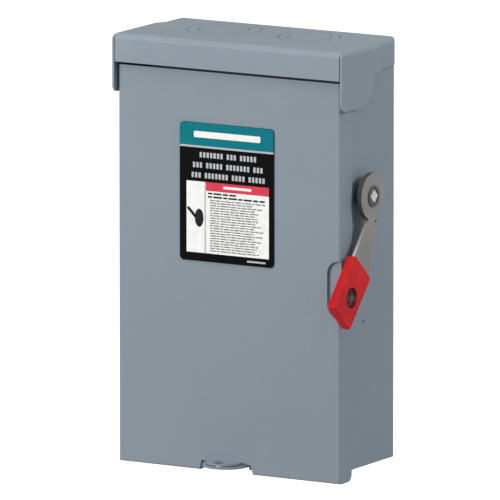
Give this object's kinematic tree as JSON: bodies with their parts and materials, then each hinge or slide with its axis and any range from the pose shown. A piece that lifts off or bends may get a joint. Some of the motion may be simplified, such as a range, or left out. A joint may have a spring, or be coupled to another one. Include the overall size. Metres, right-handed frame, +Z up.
{
  "type": "ac disconnect box",
  "caption": "Outdoor fused AC disconnect: steel wall box with rain hood, lift-up door and red side handle that swings blades in and out of their jaws; padlockable off.",
  "frame": {"origin": "middle of the case's flat back, on the wall plane", "axes": "+Z up along the case, +Y into the wall, +X towards the handle side, door facing -Y"},
  "size_m": [0.1862, 0.1023, 0.2943],
  "materials": {
    "enclosure_body": "light grey baked powder paint over galvanised steel, satin with a faint orange peel",
    "rain_hood": "light grey baked powder paint over galvanised steel, satin with a faint orange peel",
    "padlock_hasp": "light grey baked powder paint over galvanised steel, satin with a faint orange peel",
    "hinge_pin_left": "bright zinc plate",
    "hinge_pin_right": "bright zinc plate",
    "handle_bushing": "moulded black thermoset",
    "mechanism_bracket": "bright zinc plate",
    "toggle_spring": "bright zinc plate",
    "switch_base": "moulded black thermoset",
    "base_screw_1": "bright zinc plate",
    "base_screw_2": "bright zinc plate",
    "base_screw_3": "bright zinc plate",
    "base_screw_4": "bright zinc plate",
    "bearing_bracket": "moulded black thermoset",
    "line_jaw_left": "bright copper alloy",
    "line_jaw_right": "bright copper alloy",
    "load_jaw_left": "bright copper alloy",
    "load_jaw_right": "bright copper alloy",
    "line_lug_left": "tin-plated extruded aluminium",
    "line_lug_right": "tin-plated extruded aluminium",
    "line_lug_screw_left": "bright zinc plate",
    "line_lug_screw_right": "bright zinc plate",
    "load_lug_left": "tin-plated extruded aluminium",
    "load_lug_right": "tin-plated extruded aluminium",
    "load_lug_screw_left": "bright zinc plate",
    "load_lug_screw_right": "bright zinc plate",
    "load_strip_left": "bright copper alloy",
    "load_strip_right": "bright copper alloy",
    "upper_fuse_clip_left": "bright copper alloy",
    "upper_fuse_clip_right": "bright copper alloy",
    "lower_fuse_clip_left": "bright copper alloy",
    "lower_fuse_clip_right": "bright copper alloy",
    "fuse_left": "blue fibre tube with plated end caps",
    "fuse_right": "blue fibre tube with plated end caps",
    "terminal_shield": "grey vulcanised fibre sheet",
    "neutral_insulator": "moulded black thermoset",
    "neutral_bar": "tin-plated extruded aluminium",
    "neutral_screw_1": "bright zinc plate",
    "neutral_screw_2": "bright zinc plate",
    "neutral_screw_3": "bright zinc plate",
    "neutral_screw_4": "bright zinc plate",
    "ground_bar": "tin-plated extruded aluminium",
    "ground_screw_1": "bright zinc plate",
    "ground_screw_2": "bright zinc plate",
    "ground_screw_3": "bright zinc plate",
    "door": "light grey baked powder paint over galvanised steel, satin with a faint orange peel",
    "rating_label": "printed vinyl label: plain colour bands and bars only",
    "door_catch": "bright zinc plate",
    "handle_arm": "plain zinc-plated steel sheet, dull",
    "handle_grip": "moulded red vinyl, satin",
    "handle_shaft": "bright zinc plate",
    "retaining_ring": "black oxide spring steel",
    "drive_lever": "bright zinc plate",
    "interlock_lever": "bright zinc plate",
    "rotor_bar": "moulded black thermoset",
    "blade_left": "bright copper alloy",
    "blade_right": "bright copper alloy",
    "rotor_crank": "bright zinc plate"
  },
  "bodies": {
    "case": {"enclosure_body": "enclosure_body", "rain_hood": "rain_hood", "padlock_hasp": "padlock_hasp", "hinge_pin_left": "hinge_pin_left", "hinge_pin_right": "hinge_pin_right", "handle_bushing": "handle_bushing", "mechanism_bracket": "mechanism_bracket", "toggle_spring": "toggle_spring", "switch_base": "switch_base", "base_screw_1": "base_screw_1", "base_screw_2": "base_screw_2", "base_screw_3": "base_screw_3", "base_screw_4": "base_screw_4", "bearing_bracket": "bearing_bracket", "line_jaw_left": "line_jaw_left", "line_jaw_right": "line_jaw_right", "load_jaw_left": "load_jaw_left", "load_jaw_right": "load_jaw_right", "line_lug_left": "line_lug_left", "line_lug_right": "line_lug_right", "line_lug_screw_left": "line_lug_screw_left", "line_lug_screw_right": "line_lug_screw_right", "load_lug_left": "load_lug_left", "load_lug_right": "load_lug_right", "load_lug_screw_left": "load_lug_screw_left", "load_lug_screw_right": "load_lug_screw_right", "load_strip_left": "load_strip_left", "load_strip_right": "load_strip_right", "upper_fuse_clip_left": "upper_fuse_clip_left", "upper_fuse_clip_right": "upper_fuse_clip_right", "lower_fuse_clip_left": "lower_fuse_clip_left", "lower_fuse_clip_right": "lower_fuse_clip_right", "fuse_left": "fuse_left", "fuse_right": "fuse_right", "terminal_shield": "terminal_shield", "neutral_insulator": "neutral_insulator", "neutral_bar": "neutral_bar", "neutral_screw_1": "neutral_screw_1", "neutral_screw_2": "neutral_screw_2", "neutral_screw_3": "neutral_screw_3", "neutral_screw_4": "neutral_screw_4", "ground_bar": "ground_bar", "ground_screw_1": "ground_screw_1", "ground_screw_2": "ground_screw_2", "ground_screw_3": "ground_screw_3"},
    "door": {"door": "door", "rating_label": "rating_label", "door_catch": "door_catch"},
    "handle": {"handle_arm": "handle_arm", "handle_grip": "handle_grip", "handle_shaft": "handle_shaft", "retaining_ring": "retaining_ring", "drive_lever": "drive_lever", "interlock_lever": "interlock_lever"},
    "rotor": {"rotor_bar": "rotor_bar", "blade_left": "blade_left", "blade_right": "blade_right", "rotor_crank": "rotor_crank"}
  },
  "joints": [
    {"name": "door_hinge", "type": "hinge", "parent": "case", "child": "door", "pos_m": [0, -0.07, 0.1115], "axis": [-1, 0, 0], "range_deg": [0, 100]},
    {"name": "handle_turn", "type": "hinge", "parent": "case", "child": "handle", "pos_m": [0, -0.0471, 0.0418], "axis": [-1, 0, 0], "range_deg": [0, 124]},
    {"name": "rotor_turn", "type": "hinge", "parent": "case", "child": "rotor", "pos_m": [0, -0.0471, 0.0418], "axis": [-1, 0, 0], "range_deg": [0, 62]}
  ],
  "couplings": [
    {"joint": "rotor_turn", "follows": "handle_turn", "ratio": 0.5}
  ]
}
